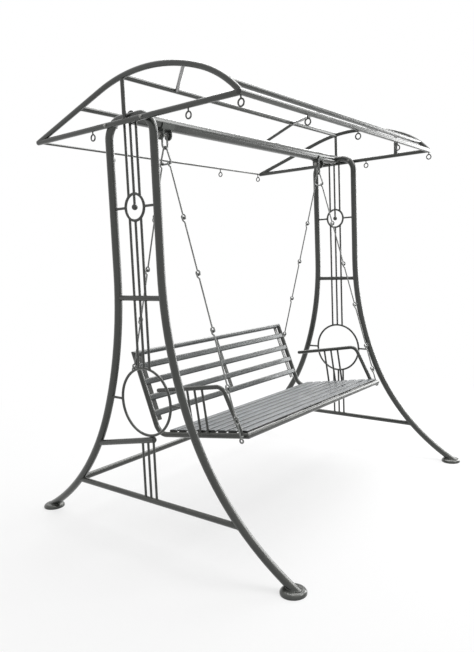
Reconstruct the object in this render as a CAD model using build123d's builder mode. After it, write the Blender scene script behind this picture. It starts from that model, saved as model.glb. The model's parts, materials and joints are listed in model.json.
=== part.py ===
from build123d import *
import os
from math import asin, atan2, cos, degrees, radians, sin, sqrt

os.makedirs("parts", exist_ok=True)

# Jhoola swing: a tube stand with a canopy frame, and a slatted bench hung on rod links.
# X runs along the bench, +Y to the back, +Z up. The origin is on the floor, mid stand.
# All lengths are in millimetres.

# ---------------------------------------------------------------- driving dimensions
# side frames
frame_spacing = 1856          # between the planes of the two side frames
frame_tube_d = 38
frame_tube_wall = 2
frame_top_z = 1985            # axis of the level run at the top
frame_top_bend_r = 85
waist_half_width = 145        # half distance between the upright legs
flare_start_z = 1300          # the legs leave the vertical here
flare_upper_r = 1850
flare_upper_turn = 22         # degrees
foot_half_spread = 795
foot_d = 112
foot_rim_h = 7
foot_h = 18
foot_land_d = 80              # level top of the dome
low_bar_z = 210
low_bar_d = 28
mid_bar_z = 1177
mid_bar_d = 25
cross_wall = 1.5
stretcher_d = 32

# rings and rods of the side frames
big_ring_z = 689
big_ring_r = 160
small_ring_z = 1590
small_ring_r = 60
ring_wire_d = 13
rod_d = 12
rod_pitch = 37
ring_ball_d = 28
ring_rest_d = 28
ring_rest_slope = 11          # degrees, rising to the front

# top beam and canopy frame
beam_d = 60
beam_wall = 3
beam_end_gap = 0.5            # between the beam and the middle rods
canopy_tube_d = 25
canopy_wall = 1.5
canopy_gap = 0.3              # between the canopy's end frames and the side frames
chord_drop = 22               # level canopy rails below the side frames' top
chord_half_length = 649
arch_start_inset = 499        # the roof rib is straight from the rear tip to here
arch_straight_rise = 158
arch_crest_inset = 190        # its second arc starts here, in from the front tip
arch_crest_rise = 134
ridge_post_d = 19
front_purlin_inset = 59       # in from the front tips
rear_purlin_inset = 347       # in from the rear tips
eave_rod_d = 12
eave_rod_inset = 8            # thin rear rod in from the rear tips
brace_d = 18
corner_brace_y = -370         # its front end on the left rib
corner_brace_run = 347        # along the ridge, from the left rib
mid_brace_front_x = -250      # where the long brace meets each purlin
mid_brace_ridge_x = 424
mid_brace_rear_x = 490
end_post_d = 24
end_post_inset = 217          # in from the front tip
tie_ring_r = 14
tie_wire_d = 7
tie_drop = 39                 # tie ring centre below its rail's axis
left_chord_ties = (220, -381)
right_chord_ties = (-223,)
front_tie_shares = (-1, -0.5, 0, 0.5, 1)
rear_tie_shares = (-0.5, 0.5, 0.96)
canopy_bolt_d = 8
bolt_clearance = 0.25
bolt_across = 1.6             # across flats, in bolt diameters
bolt_head_height = 0.65
nut_height = 0.8

# hangers
saddle_t = 5
saddle_gap = 0.15
saddle_length = 80
ear_t = 6
ear_width = 46
ear_inner_gap = 46
hanger_bolt_d = 12
hanger_bolt_drop = 21         # bolt axis below the beam
shackle_wire_d = 10
shackle_half_width = 17
shackle_length = 62           # bolt axis to bow
shackle_eye_d = 24
shackle_eye_t = 11
delta_wire_d = 9
delta_clearance = 0.5         # between the hanger ring and the shackle's bow
delta_height = 62
delta_half_base = 22

# rod links
link_wire_d = 8
link_loop_r = 11
link_neck_r = 8
link_clearance = 0.5
hook_wrap = 235               # degrees of loop on the open hook
eye_wrap = 307                # degrees of loop on the closed eye
front_link_count = 5
front_last_share = 0.53       # length of the lowest front link, in others
rear_link_count = 4

# bench
seat_tube_spacing = 1360      # between the planes of the two side tubes
seat_tube_d = 28
seat_tube_wall = 1.5
seat_front_y = -407
seat_front_z = 523
seat_corner_y = 179           # where the seat line meets the back line
seat_corner_z = 442
back_top_y = 337
back_top_z = 858
seat_bend_r = 70
seat_slat_count = 8
seat_slat_w = 52
seat_slat_t = 12
seat_slat_wall = 0.9
seat_slat_first = 32          # first slat's centre behind the front rail's axis
seat_slat_last = 492
seat_slat_bite = 2            # the slats lie on the side tubes, coped this deep
slat_end_gap = 0.3            # between the slats' ends and the armrest rods
bearer_t = 5
bearer_depth = 25
bearer_offset = 340           # outer bearers from the bench's middle
back_slat_count = 4
back_slat_w = 34
back_slat_t = 16
back_slat_wall = 1.6
back_slat_first = 111         # lowest slat's centre above the seat corner, along the back
back_slat_pitch = 87
back_slat_forward = 5
strap_w = 25
strap_t = 6
strap_inset = 40              # outer straps in from the side tubes
strap_tail = 40               # outer straps below the lowest slat's centre
arm_tube_d = 22
arm_wall = 1.5
arm_rear_y = 167
arm_rear_z = 678
arm_bend_y = -262
arm_bend_z = 741
arm_foot_y = -374
arm_bend_r = 50
arm_rod_d = 12
arm_rod_wall = 1
arm_rod_count = 3
arm_rod_first_y = -33
arm_rod_pitch = 49
seat_eye_front_y = -388
seat_eye_rise = 73            # upper ring of a front eye above the side tube's axis
seat_eye_drop = 16            # its lower ring below
seat_eye_lower_r = 9.5
seat_eye_rear_z = 785
seat_eye_shank = 4
seat_eye_shank_d = 10

# ---------------------------------------------------------------- derived places
frame_x = frame_spacing / 2
frame_r = frame_tube_d / 2
canopy_r = canopy_tube_d / 2
beam_r = beam_d / 2
link_r = link_wire_d / 2
seat_x = seat_tube_spacing / 2
seat_r = seat_tube_d / 2
canopy_x = frame_x + frame_r + canopy_r + canopy_gap
chord_z = frame_top_z - chord_drop
arch_start_y = chord_half_length - arch_start_inset
arch_crest_y = arch_crest_inset - chord_half_length
front_purlin_y = front_purlin_inset - chord_half_length
rear_purlin_y = chord_half_length - rear_purlin_inset
end_post_y = end_post_inset - chord_half_length
chain_x = seat_x + seat_r + seat_eye_shank + link_loop_r + link_r
hanger_bolt_z = frame_top_z - beam_r - hanger_bolt_drop
bow_z = hanger_bolt_z - shackle_length
delta_bend_r = (shackle_wire_d + delta_wire_d) / 2 + delta_clearance
SIDES = (-1, 1)


# ---------------------------------------------------------------- shared shapes
def tube_between(start, end, diameter, wall=0):
    """Straight tube between two points on its axis; a solid rod where wall is 0."""
    run = Vector(*end) - Vector(*start)
    with BuildPart() as tube:
        with BuildSketch(Plane(origin=start, z_dir=run)):
            Circle(diameter / 2)
            if wall:
                Circle(diameter / 2 - wall, mode=Mode.SUBTRACT)
        extrude(amount=run.length)
    return tube.part


def tube_along(path, diameter, wall=0):
    """Bent tube along a wire; a solid rod where wall is 0."""
    section = Plane(origin=path @ 0, z_dir=path % 0)
    with BuildPart() as tube:
        with BuildSketch(section):
            Circle(diameter / 2)
        sweep(path=path)
        if wall:
            with BuildSketch(section):
                Circle(diameter / 2 - wall)
            sweep(path=path, mode=Mode.SUBTRACT)
    return tube.part


def hoop(centre, normal, radius, wire_d):
    """Closed ring of round bar."""
    with BuildPart() as ring:
        with Locations(Plane(origin=centre, z_dir=normal)):
            Torus(radius, wire_d / 2)
    return ring.part


def joined(*blanks):
    """Solids as one part: fused where they overlap, separate elsewhere."""
    with BuildPart() as group:
        for blank in blanks:
            add(blank)
    return group.part


def coped(blank, *neighbours):
    """The blank with the envelopes of the pieces that it meets cut away."""
    with BuildPart() as piece:
        add(blank)
        for neighbour in neighbours:
            add(neighbour, mode=Mode.SUBTRACT)
    return piece.part


def hex_bolt(under_head, reach, thread_end, diameter):
    """Bolt from under its head to its end, with a nut whose face lies at reach."""
    axis = Vector(*thread_end) - Vector(*under_head)
    way = axis.normalized()
    across = diameter * bolt_across
    nut_face = Vector(*under_head) + way * reach
    with BuildPart() as bolt:
        with BuildSketch(Plane(origin=under_head, z_dir=way)):
            Circle(diameter / 2)
        extrude(amount=axis.length)
        with BuildSketch(Plane(origin=under_head, z_dir=way)):
            RegularPolygon(across / 2, 6, major_radius=False)
        extrude(amount=-diameter * bolt_head_height)
    with BuildPart() as nut:
        with BuildSketch(Plane(origin=nut_face, z_dir=way)):
            RegularPolygon(across / 2, 6, major_radius=False)
            Circle(diameter / 2 + bolt_clearance / 2, mode=Mode.SUBTRACT)
        extrude(amount=diameter * nut_height)
    return [bolt.part, nut.part]


def tangent_circle(start, heading, end):
    """Centre and radius of the circle that leaves start along heading and passes end."""
    chord = Vector(*end) - Vector(*start)
    normal = Vector(-heading[1], heading[0]).normalized()
    reach = chord.dot(chord) / (2 * chord.dot(normal))
    return Vector(*start) + normal * reach, abs(reach)


def shallow_arc(start, end, centre, radius):
    """The shorter arc of a circle between two of its points."""
    towards = (Vector(*start) + Vector(*end)) / 2 - centre
    middle = centre + towards.normalized() * radius
    return ThreePointArc(start, (middle.X, middle.Y), end)


def side_name(side):
    return "left" if side < 0 else "right"


def save(name, part):
    """Label a finished piece and write its STEP file."""
    part.label = name
    export_step(part, f"parts/{name}.step")


# ---------------------------------------------------------------- side frames
# the lower flare of a leg is tangent to the upper one and ends on its foot
turn = radians(flare_upper_turn)
knee = (
    waist_half_width + flare_upper_r * (1 - cos(turn)),
    flare_start_z - flare_upper_r * sin(turn),
)
knee_heading = (sin(turn), -cos(turn))
foot_point = (foot_half_spread, foot_h)
flare_upper_centre = Vector(waist_half_width + flare_upper_r, flare_start_z)
flare_centre, flare_lower_r = tangent_circle(knee, knee_heading, foot_point)


def leg_half_width(z):
    """Distance of a leg's axis from the middle of its side frame at height z."""
    if z > flare_start_z:
        return waist_half_width
    if z > knee[1]:
        return waist_half_width + flare_upper_r - sqrt(flare_upper_r**2 - (flare_start_z - z) ** 2)
    return flare_centre.X - sqrt(flare_lower_r**2 - (flare_centre.Y - z) ** 2)


def frame_tube(x, wall=0):
    """One tube bent from foot to foot over the top."""
    bend_z = frame_top_z - frame_top_bend_r
    bend_y = waist_half_width - frame_top_bend_r
    foot_slope = degrees(asin((flare_centre.Y - foot_h) / flare_lower_r))
    with BuildLine(Plane.YZ.offset(x)) as half:
        Line((0, frame_top_z), (bend_y, frame_top_z))
        CenterArc((bend_y, bend_z), frame_top_bend_r, 90, -90)
        Line((waist_half_width, bend_z), (waist_half_width, flare_start_z))
        shallow_arc((waist_half_width, flare_start_z), knee, flare_upper_centre, flare_upper_r)
        shallow_arc(knee, foot_point, flare_centre, flare_lower_r)
        PolarLine(foot_point, 2 * frame_tube_d, foot_slope - 90)
    half_tube = tube_along(half.wire(), frame_tube_d, wall)
    with BuildPart() as tube:
        add(half_tube)
        mirror(about=Plane.XZ)
        split(bisect_by=Plane.XY.offset(foot_h), keep=Keep.TOP)
    return tube.part


def foot_disc(x, y):
    """Round floor plate with a low dome that a leg is welded to."""
    with BuildPart() as foot:
        with BuildSketch(Plane((x, y, 0), x_dir=(1, 0, 0), z_dir=(0, -1, 0))):
            with BuildLine():
                Polyline((0, foot_h), (0, 0), (foot_d / 2, 0), (foot_d / 2, foot_rim_h))
                TangentArc((foot_land_d / 2, foot_h), (foot_d / 2, foot_rim_h), tangent=(1, 0))
                Line((foot_land_d / 2, foot_h), (0, foot_h))
            make_face()
        revolve(axis=Axis((x, y, 0), (0, 0, 1)))
    return foot.part


# the sloping rest touches the big ring from below and ends on the rear leg
rest_slope = radians(ring_rest_slope)
rest_reach = big_ring_r + (ring_wire_d + ring_rest_d) / 2


def rest_axis_z(y):
    touch_y = -rest_reach * sin(rest_slope)
    touch_z = big_ring_z - rest_reach * cos(rest_slope)
    return touch_z - (y - touch_y) * sin(rest_slope) / cos(rest_slope)


rest_rear_y = waist_half_width
for _ in range(20):
    rest_rear_y = leg_half_width(rest_axis_z(rest_rear_y))
rest_ends = [(y, rest_axis_z(y)) for y in (-rod_pitch - rod_d / 2, rest_rear_y)]

# the canopy's end frames are bolted through the bends of the side frames
bend_y = waist_half_width - frame_top_bend_r
bend_z = frame_top_z - frame_top_bend_r
canopy_bolt_y = bend_y + sqrt(frame_top_bend_r**2 - (chord_z - bend_z) ** 2)
bolt_holes = joined(
    *[
        tube_between(
            (side * (frame_x - 2 * frame_r), y, chord_z),
            (side * (canopy_x + 2 * canopy_r), y, chord_z),
            canopy_bolt_d + 2 * bolt_clearance,
        )
        for side in SIDES
        for y in (-canopy_bolt_y, canopy_bolt_y)
    ]
)

frames = {side: frame_tube(side * frame_x) for side in SIDES}
for side in SIDES:
    x = side * frame_x
    name = side_name(side)
    frame = frames[side]
    big_ring = hoop((x, 0, big_ring_z), (1, 0, 0), big_ring_r, ring_wire_d)
    small_ring = hoop((x, 0, small_ring_z), (1, 0, 0), small_ring_r, ring_wire_d)
    save(f"{name}_frame_tube", coped(frame_tube(x, frame_tube_wall), bolt_holes))
    save(f"{name}_big_ring", big_ring)
    save(f"{name}_small_ring", small_ring)

    bars = []
    for bar_name, z, diameter in (
        ("low_crossbar", low_bar_z, low_bar_d),
        ("mid_crossbar", mid_bar_z, mid_bar_d),
    ):
        reach = leg_half_width(z)
        ends = [(x, -reach, z), (x, reach, z)]
        save(f"{name}_{bar_name}", coped(tube_between(*ends, diameter, cross_wall), frame))
        bars.append(tube_between(*ends, diameter))
    if side < 0:
        ends = [(x, y, z) for y, z in rest_ends]
        save("left_ring_rest", coped(tube_between(*ends, ring_rest_d, cross_wall), frame, big_ring))
        bars.append(tube_between(*ends, ring_rest_d))

    # three rods from the top to the low bar, broken by the rings and the mid bar
    rods = []
    for step in (-1, 0, 1):
        y = step * rod_pitch
        small_half = sqrt(small_ring_r**2 - y**2)
        big_half = sqrt(big_ring_r**2 - y**2)
        below_ring = rest_axis_z(y) if side < 0 else big_ring_z - big_half
        for z_high, z_low in (
            (frame_top_z, small_ring_z + small_half),
            (small_ring_z - small_half, mid_bar_z),
            (mid_bar_z, big_ring_z + big_half),
            (below_ring, low_bar_z),
        ):
            rods.append(tube_between((x, y, z_low), (x, y, z_high), rod_d))
    save(f"{name}_infill_rods", coped(joined(*rods), frame, small_ring, big_ring, *bars))

    # short struts hold the rings to the legs
    struts = []
    for z, radius in ((big_ring_z, big_ring_r), (small_ring_z, small_ring_r)):
        for step in (-1, 1):
            ends = [(x, step * radius, z), (x, step * leg_half_width(z), z)]
            struts.append(tube_between(*ends, rod_d))
    save(f"{name}_ring_struts", coped(joined(*struts), frame, big_ring, small_ring))

for end, step in (("front", -1), ("rear", 1)):
    discs = [foot_disc(side * frame_x, step * foot_half_spread) for side in SIDES]
    save(f"{end}_feet", joined(*discs))

# a ball on a short stub hangs from the top of each small ring
balls = []
for side in SIDES:
    x = side * frame_x
    with BuildPart() as ball:
        with Locations((x, 0, small_ring_z)):
            Sphere(ring_ball_d / 2)
    stub = tube_between((x, 0, small_ring_z), (x, 0, small_ring_z + small_ring_r), rod_d)
    small_ring = hoop((x, 0, small_ring_z), (1, 0, 0), small_ring_r, ring_wire_d)
    balls.append(coped(joined(ball.part, stub), small_ring))
save("ring_balls", joined(*balls))

stretcher_y = leg_half_width(low_bar_z)
low_bars = []
for side in SIDES:
    x = side * frame_x
    low_bars.append(tube_between((x, -stretcher_y, low_bar_z), (x, stretcher_y, low_bar_z), low_bar_d))
stretcher_ends = [(side * frame_x, stretcher_y, low_bar_z) for side in SIDES]
stretcher = tube_between(*stretcher_ends, stretcher_d, cross_wall)
save("rear_stretcher", coped(stretcher, *frames.values(), *low_bars))

beam_half = frame_x - rod_d / 2 - beam_end_gap
beam = tube_between((-beam_half, 0, frame_top_z), (beam_half, 0, frame_top_z), beam_d, beam_wall)
save("top_beam", coped(beam, *frames.values()))

# ---------------------------------------------------------------- canopy frame
# roof rib: straight from the rear tip, then two tangent arcs down to the front tip
rib_rear = (chord_half_length, chord_z)
rib_start = (arch_start_y, chord_z + arch_straight_rise)
rib_crest = (arch_crest_y, chord_z + arch_crest_rise)
rib_front = (-chord_half_length, chord_z)
rib_heading = (rib_start[0] - rib_rear[0], rib_start[1] - rib_rear[1])
crown_centre, crown_r = tangent_circle(rib_start, rib_heading, rib_crest)
crest_heading = (rib_crest[1] - crown_centre.Y) * -1, rib_crest[0] - crown_centre.X
brow_centre, brow_r = tangent_circle(rib_crest, crest_heading, rib_front)


def rib_height(y):
    """Height of the roof rib's axis at y."""
    if y > arch_start_y:
        share = (chord_half_length - y) / (chord_half_length - arch_start_y)
        return chord_z + share * arch_straight_rise
    if y > arch_crest_y:
        return crown_centre.Y + sqrt(crown_r**2 - (y - crown_centre.X) ** 2)
    return brow_centre.Y + sqrt(brow_r**2 - (y - brow_centre.X) ** 2)


def roof_rib(x, wall=0):
    with BuildLine(Plane.YZ.offset(x)) as rib:
        Line(rib_rear, rib_start)
        shallow_arc(rib_start, rib_crest, crown_centre, crown_r)
        shallow_arc(rib_crest, rib_front, brow_centre, brow_r)
    return tube_along(rib.wire(), canopy_tube_d, wall)


def chord(x, wall=0):
    return tube_between(
        (x, -chord_half_length, chord_z), (x, chord_half_length, chord_z), canopy_tube_d, wall
    )


def purlin(y, z, diameter, wall=0, half_length=canopy_x):
    return tube_between((-half_length, y, z), (half_length, y, z), diameter, wall)


ribs = {side: roof_rib(side * canopy_x) for side in SIDES}
chords = {side: chord(side * canopy_x) for side in SIDES}
posts = {
    side: tube_between((side * canopy_x, 0, chord_z), (side * canopy_x, 0, rib_height(0)), ridge_post_d)
    for side in SIDES
}
eave_half = canopy_x + canopy_r
front_eave = purlin(-chord_half_length, chord_z, canopy_tube_d, half_length=eave_half)
save(
    "front_eave_rail",
    purlin(-chord_half_length, chord_z, canopy_tube_d, canopy_wall, half_length=eave_half),
)
for side in SIDES:
    x = side * canopy_x
    name = side_name(side)
    save(f"{name}_canopy_chord", coped(chord(x, canopy_wall), front_eave, bolt_holes))
    rib = coped(roof_rib(x, canopy_wall), front_eave, chords[side])
    save(f"{name}_canopy_rib", rib)

ridge_z = rib_height(0)
front_purlin_z = rib_height(front_purlin_y)
rear_purlin_z = rib_height(rear_purlin_y)
end_post_ends = [(canopy_x, end_post_y, z) for z in (chord_z, rib_height(end_post_y))]
end_post = tube_between(*end_post_ends, end_post_d)
save("right_end_post", coped(end_post, ribs[1], chords[1]))
save("ridge_posts", joined(*[coped(posts[side], ribs[side], chords[side]) for side in SIDES]))
upper_ends = [*ribs.values(), *posts.values()]
for purlin_name, y, z in (
    ("ridge_purlin", 0, ridge_z),
    ("front_purlin", front_purlin_y, front_purlin_z),
    ("rear_purlin", rear_purlin_y, rear_purlin_z),
):
    save(purlin_name, coped(purlin(y, z, canopy_tube_d, canopy_wall), *upper_ends))
rear_eave_y = chord_half_length - eave_rod_inset
rear_eave = coped(purlin(rear_eave_y, chord_z, eave_rod_d), *chords.values(), *ribs.values())
save("rear_eave_rod", rear_eave)

# slanting braces: one from the left rib to the ridge, one from purlin to purlin
ridge = purlin(0, ridge_z, canopy_tube_d)
front_purlin = purlin(front_purlin_y, front_purlin_z, canopy_tube_d)
rear_purlin = purlin(rear_purlin_y, rear_purlin_z, canopy_tube_d)
corner_brace_start = (-canopy_x, corner_brace_y, rib_height(corner_brace_y))
mid_brace_start = (mid_brace_front_x, front_purlin_y, front_purlin_z)
mid_brace_ridge = (mid_brace_ridge_x, 0, ridge_z)
mid_brace_end = (mid_brace_rear_x, rear_purlin_y, rear_purlin_z)
brace_feet = [
    (corner_brace_start, (-canopy_x + corner_brace_run, 0, ridge_z)),
    (mid_brace_start, mid_brace_ridge),
    (mid_brace_ridge, mid_brace_end),
]
save(
    "roof_braces",
    joined(
        *[
            coped(tube_between(*feet, brace_d, canopy_wall), ridge, front_purlin, rear_purlin, ribs[-1])
            for feet in brace_feet
        ]
    ),
)


def tie_ring(x, y):
    """Small ring on a stem under a canopy rail, for the cover's tie cords."""
    centre = (x, y, chord_z - tie_drop)
    stem = tube_between((x, y, chord_z - tie_drop + tie_ring_r), (x, y, chord_z), tie_wire_d)
    return joined(hoop(centre, (1, 0, 0), tie_ring_r, tie_wire_d), stem)


rear_rail = purlin(rear_eave_y, chord_z, eave_rod_d)
ties = [tie_ring(share * canopy_x, -chord_half_length) for share in front_tie_shares]
ties += [tie_ring(share * canopy_x, rear_eave_y) for share in rear_tie_shares]
for side, places in ((-1, left_chord_ties), (1, right_chord_ties)):
    ties += [tie_ring(side * canopy_x, y) for y in places]
save("canopy_tie_rings", coped(joined(*ties), front_eave, rear_rail, *chords.values()))

canopy_bolts = []
for side in SIDES:
    for y in (-canopy_bolt_y, canopy_bolt_y):
        outer = side * (canopy_x + canopy_r)
        inner = side * (frame_x - frame_r)
        end = inner - side * canopy_bolt_d
        canopy_bolts += hex_bolt((outer, y, chord_z), abs(outer - inner), (end, y, chord_z), canopy_bolt_d)
save("canopy_bolts", joined(*canopy_bolts))

# ---------------------------------------------------------------- hangers
hanger_bolts = []
for side in SIDES:
    x = side * chain_x
    name = side_name(side)
    ear_x = ear_inner_gap / 2
    with BuildPart() as bracket:
        with BuildSketch(Plane.YZ.offset(x - saddle_length / 2)):
            with Locations((0, frame_top_z)):
                Circle(beam_r + saddle_gap + saddle_t)
                Circle(beam_r + saddle_gap, mode=Mode.SUBTRACT)
                with Locations((0, beam_r + saddle_t)):
                    Rectangle(3 * beam_d, 2 * (beam_r + saddle_t), mode=Mode.SUBTRACT)
        extrude(amount=saddle_length)
        for inner in (x - ear_x - ear_t, x + ear_x):
            with BuildSketch(Plane.YZ.offset(inner)):
                with Locations((0, hanger_bolt_z)):
                    Circle(ear_width / 2)
                with Locations((0, (hanger_bolt_z + frame_top_z) / 2)):
                    Rectangle(ear_width, frame_top_z - hanger_bolt_z)
                with Locations((0, frame_top_z)):
                    Circle(beam_r + saddle_gap, mode=Mode.SUBTRACT)
                with Locations((0, hanger_bolt_z)):
                    Circle(hanger_bolt_d / 2 + bolt_clearance, mode=Mode.SUBTRACT)
            extrude(amount=ear_t)
    save(f"{name}_hanger_bracket", bracket.part)

    outer_ear = ear_x + ear_t
    hanger_bolts += hex_bolt(
        (x + side * outer_ear, 0, hanger_bolt_z),
        2 * outer_ear,
        (x - side * (outer_ear + hanger_bolt_d), 0, hanger_bolt_z),
        hanger_bolt_d,
    )

    # the shackle hangs on the bolt between the ears
    u_centre_z = bow_z + shackle_half_width
    with BuildLine(Plane.XZ) as u_line:
        Line((x - shackle_half_width, hanger_bolt_z), (x - shackle_half_width, u_centre_z))
        CenterArc((x, u_centre_z), shackle_half_width, 180, 180)
        Line((x + shackle_half_width, u_centre_z), (x + shackle_half_width, hanger_bolt_z))
    u_bar = tube_along(u_line.wire(), shackle_wire_d)
    with BuildPart() as shackle:
        add(u_bar)
        for leg_x in (x - shackle_half_width, x + shackle_half_width):
            with BuildSketch(Plane.YZ.offset(leg_x - shackle_eye_t / 2)):
                with Locations((0, hanger_bolt_z)):
                    Circle(shackle_eye_d / 2)
            extrude(amount=shackle_eye_t)
        with BuildSketch(Plane.YZ.offset(x - 2 * shackle_half_width)):
            with Locations((0, hanger_bolt_z)):
                Circle(hanger_bolt_d / 2 + bolt_clearance)
        extrude(amount=4 * shackle_half_width, mode=Mode.SUBTRACT)
    save(f"{name}_shackle", shackle.part)

    # three-cornered ring: its top corner wraps the bow, each lower corner takes a chain
    base_z = bow_z - delta_height
    with BuildSketch(Plane.YZ.offset(x)) as outline:
        with BuildLine():
            Polyline((0, bow_z), (-delta_half_base, base_z), (delta_half_base, base_z), close=True)
        make_face()
        offset(amount=delta_bend_r)
    save(f"{name}_hanger_ring", tube_along(outline.sketch.face().outer_wire(), delta_wire_d))
save("hanger_bolts", joined(*hanger_bolts))

# ---------------------------------------------------------------- bench frame
seat_front = Vector(0, seat_front_y, seat_front_z)
seat_corner = Vector(0, seat_corner_y, seat_corner_z)
back_top = Vector(0, back_top_y, back_top_z)
seat_way = (seat_corner - seat_front).normalized()      # along the seat, to the back
back_way = (back_top - seat_corner).normalized()        # up the back
seat_up = Vector(0, -seat_way.Z, seat_way.Y)            # square to the seat, upwards
back_fore = Vector(0, -back_way.Z, back_way.Y)          # square to the back, to the front


def at_x(x, place):
    return Vector(x, place.Y, place.Z)


def mitre(side, place, way):
    """Plane that halves the corner of a side tube and a cross tube."""
    return Plane(origin=at_x(side * seat_x, place), z_dir=way + Vector(side, 0, 0))


def seat_side(side, wall=0):
    """One tube bent from the seat's front corner to the top of the back."""
    ends = [seat_front - seat_way * seat_tube_d, seat_corner, back_top + back_way * seat_tube_d]
    with BuildLine(Plane.YZ.offset(side * seat_x)) as run:
        FilletPolyline(*[(point.Y, point.Z) for point in ends], radius=seat_bend_r)
    blank = tube_along(run.wire(), seat_tube_d, wall)
    with BuildPart() as tube:
        add(blank)
        split(bisect_by=mitre(side, seat_front, seat_way), keep=Keep.TOP)
        split(bisect_by=mitre(side, back_top, -back_way), keep=Keep.TOP)
    return tube.part


def cross_tube(place, way):
    """Tube between the side tubes, mitred to them at both ends."""
    reach = seat_x + seat_tube_d
    blank = tube_between(at_x(-reach, place), at_x(reach, place), seat_tube_d, seat_tube_wall)
    with BuildPart() as tube:
        add(blank)
        for side in SIDES:
            split(bisect_by=mitre(side, place, way), keep=Keep.BOTTOM)
    return tube.part


def slat(place, up, width, thickness, wall, reach=seat_x):
    """Flat-oval tube along the bench with its broad face square to up."""
    along_x = Vector(1, 0, 0)
    section = Plane(origin=at_x(-reach, place), x_dir=up.cross(along_x), z_dir=along_x)
    with BuildPart() as bar:
        with BuildSketch(section):
            SlotOverall(width, thickness)
            SlotOverall(width - 2 * wall, thickness - 2 * wall, mode=Mode.SUBTRACT)
        extrude(amount=2 * reach)
    return bar.part


seat_sides = {side: seat_side(side) for side in SIDES}
front_rail = tube_between(at_x(-seat_x, seat_front), at_x(seat_x, seat_front), seat_tube_d)
top_rail = tube_between(at_x(-seat_x, back_top), at_x(seat_x, back_top), seat_tube_d)
for side in SIDES:
    save(f"{side_name(side)}_seat_tube", seat_side(side, seat_tube_wall))
save("front_seat_rail", cross_tube(seat_front, seat_way))
save("back_top_rail", cross_tube(back_top, -back_way))

# ---------------------------------------------------------------- armrests
arm_foot = seat_front + seat_way * ((arm_foot_y - seat_front_y) / seat_way.Y)
arm_points = [(arm_rear_y, arm_rear_z), (arm_bend_y, arm_bend_z), (arm_foot.Y, arm_foot.Z)]
arm_slope = (arm_bend_z - arm_rear_z) / (arm_bend_y - arm_rear_y)


def armrest(side, wall=0):
    """Bent tube with a round closed rear end; its front post stands on the side tube."""
    with BuildLine(Plane.YZ.offset(side * seat_x)) as run:
        FilletPolyline(*arm_points, radius=arm_bend_r)
    blank = tube_along(run.wire(), arm_tube_d, wall)
    with BuildPart() as arm:
        with Locations((side * seat_x, arm_rear_y, arm_rear_z)):
            Sphere(arm_tube_d / 2)
        add(blank)
    return arm.part


arms = {side: armrest(side) for side in SIDES}
for side in SIDES:
    x = side * seat_x
    save(f"{side_name(side)}_armrest", coped(armrest(side, arm_wall), seat_sides[side]))
    rods = []
    for index in range(arm_rod_count):
        y = arm_rod_first_y - index * arm_rod_pitch
        high = Vector(x, y, arm_rear_z + (y - arm_rear_y) * arm_slope)
        fall = (high - at_x(x, seat_front)).dot(seat_up)
        rods.append(tube_between(high - seat_up * fall, high, arm_rod_d, arm_rod_wall))
    save(f"{side_name(side)}_armrest_rods", coped(joined(*rods), arms[side], seat_sides[side]))

# ---------------------------------------------------------------- slats
# the seat slats lie on the side tubes between the armrest rods
slat_step = (seat_slat_last - seat_slat_first) / (seat_slat_count - 1)
slat_lift = seat_r + seat_slat_t / 2 - seat_slat_bite
slat_reach = seat_x - arm_rod_d / 2 - slat_end_gap
seat_slats = []
for index in range(seat_slat_count):
    place = seat_front + seat_way * (seat_slat_first + index * slat_step) + seat_up * slat_lift
    blank = slat(place, seat_up, seat_slat_w, seat_slat_t, seat_slat_wall, slat_reach)
    seat_slats.append(coped(blank, *seat_sides.values(), *arms.values()))
save("seat_slats", joined(*seat_slats))

back_slats = []
for index in range(back_slat_count):
    up_back = back_slat_first + index * back_slat_pitch
    place = seat_corner + back_way * up_back + back_fore * back_slat_forward
    blank = slat(place, back_fore, back_slat_w, back_slat_t, back_slat_wall)
    back_slats.append(coped(blank, *seat_sides.values()))
save("back_slats", joined(*back_slats))

# flat bars on edge under the seat slats, welded to the front rail
bearers = []
bearer_start = seat_front + seat_up * (slat_lift - (seat_slat_t + bearer_depth) / 2)
for x in (-bearer_offset, 0, bearer_offset):
    with BuildPart() as bearer:
        with BuildSketch(Plane(origin=at_x(x, bearer_start), x_dir=(1, 0, 0), z_dir=seat_way)):
            Rectangle(bearer_t, bearer_depth)
        extrude(amount=seat_slat_last + seat_slat_w / 2)
    bearers.append(coped(bearer.part, front_rail))

# flat straps tie the back slats to the top rail
straps = []
back_length = (back_top - seat_corner).length
strap_x = seat_x - strap_inset
for x, tail in ((-strap_x, strap_tail), (0, back_slat_w / 2), (strap_x, strap_tail)):
    strap_low = seat_corner + back_way * (back_slat_first - tail)
    strap_low += back_fore * (back_slat_forward - (back_slat_t + strap_t) / 2)
    with BuildPart() as strap:
        with BuildSketch(Plane(origin=at_x(x, strap_low), x_dir=(1, 0, 0), z_dir=back_way)):
            Rectangle(strap_w, strap_t)
        extrude(amount=back_length - back_slat_first + tail)
    straps.append(coped(strap.part, top_rail))
save("seat_bearers", joined(*bearers))
save("back_straps", joined(*straps))

# ---------------------------------------------------------------- rod links
neck_rise = sqrt(link_loop_r**2 + 2 * link_neck_r * link_loop_r)
neck_turn = degrees(atan2(neck_rise, link_neck_r))
loop_step = 2 * (link_loop_r - link_r) - link_clearance     # between linked loops' centres


def link_half(place, rod_reach, wrap):
    """Half a link: straight rod, neck and loop, with the loop's centre on place."""
    with BuildLine(place) as wire:
        Line((0, -rod_reach), (0, -neck_rise))
        CenterArc((-link_neck_r, -neck_rise), link_neck_r, 0, neck_turn)
        CenterArc((0, 0), link_loop_r, 180 + neck_turn, -wrap)
    return tube_along(wire.wire(), link_wire_d)


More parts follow.
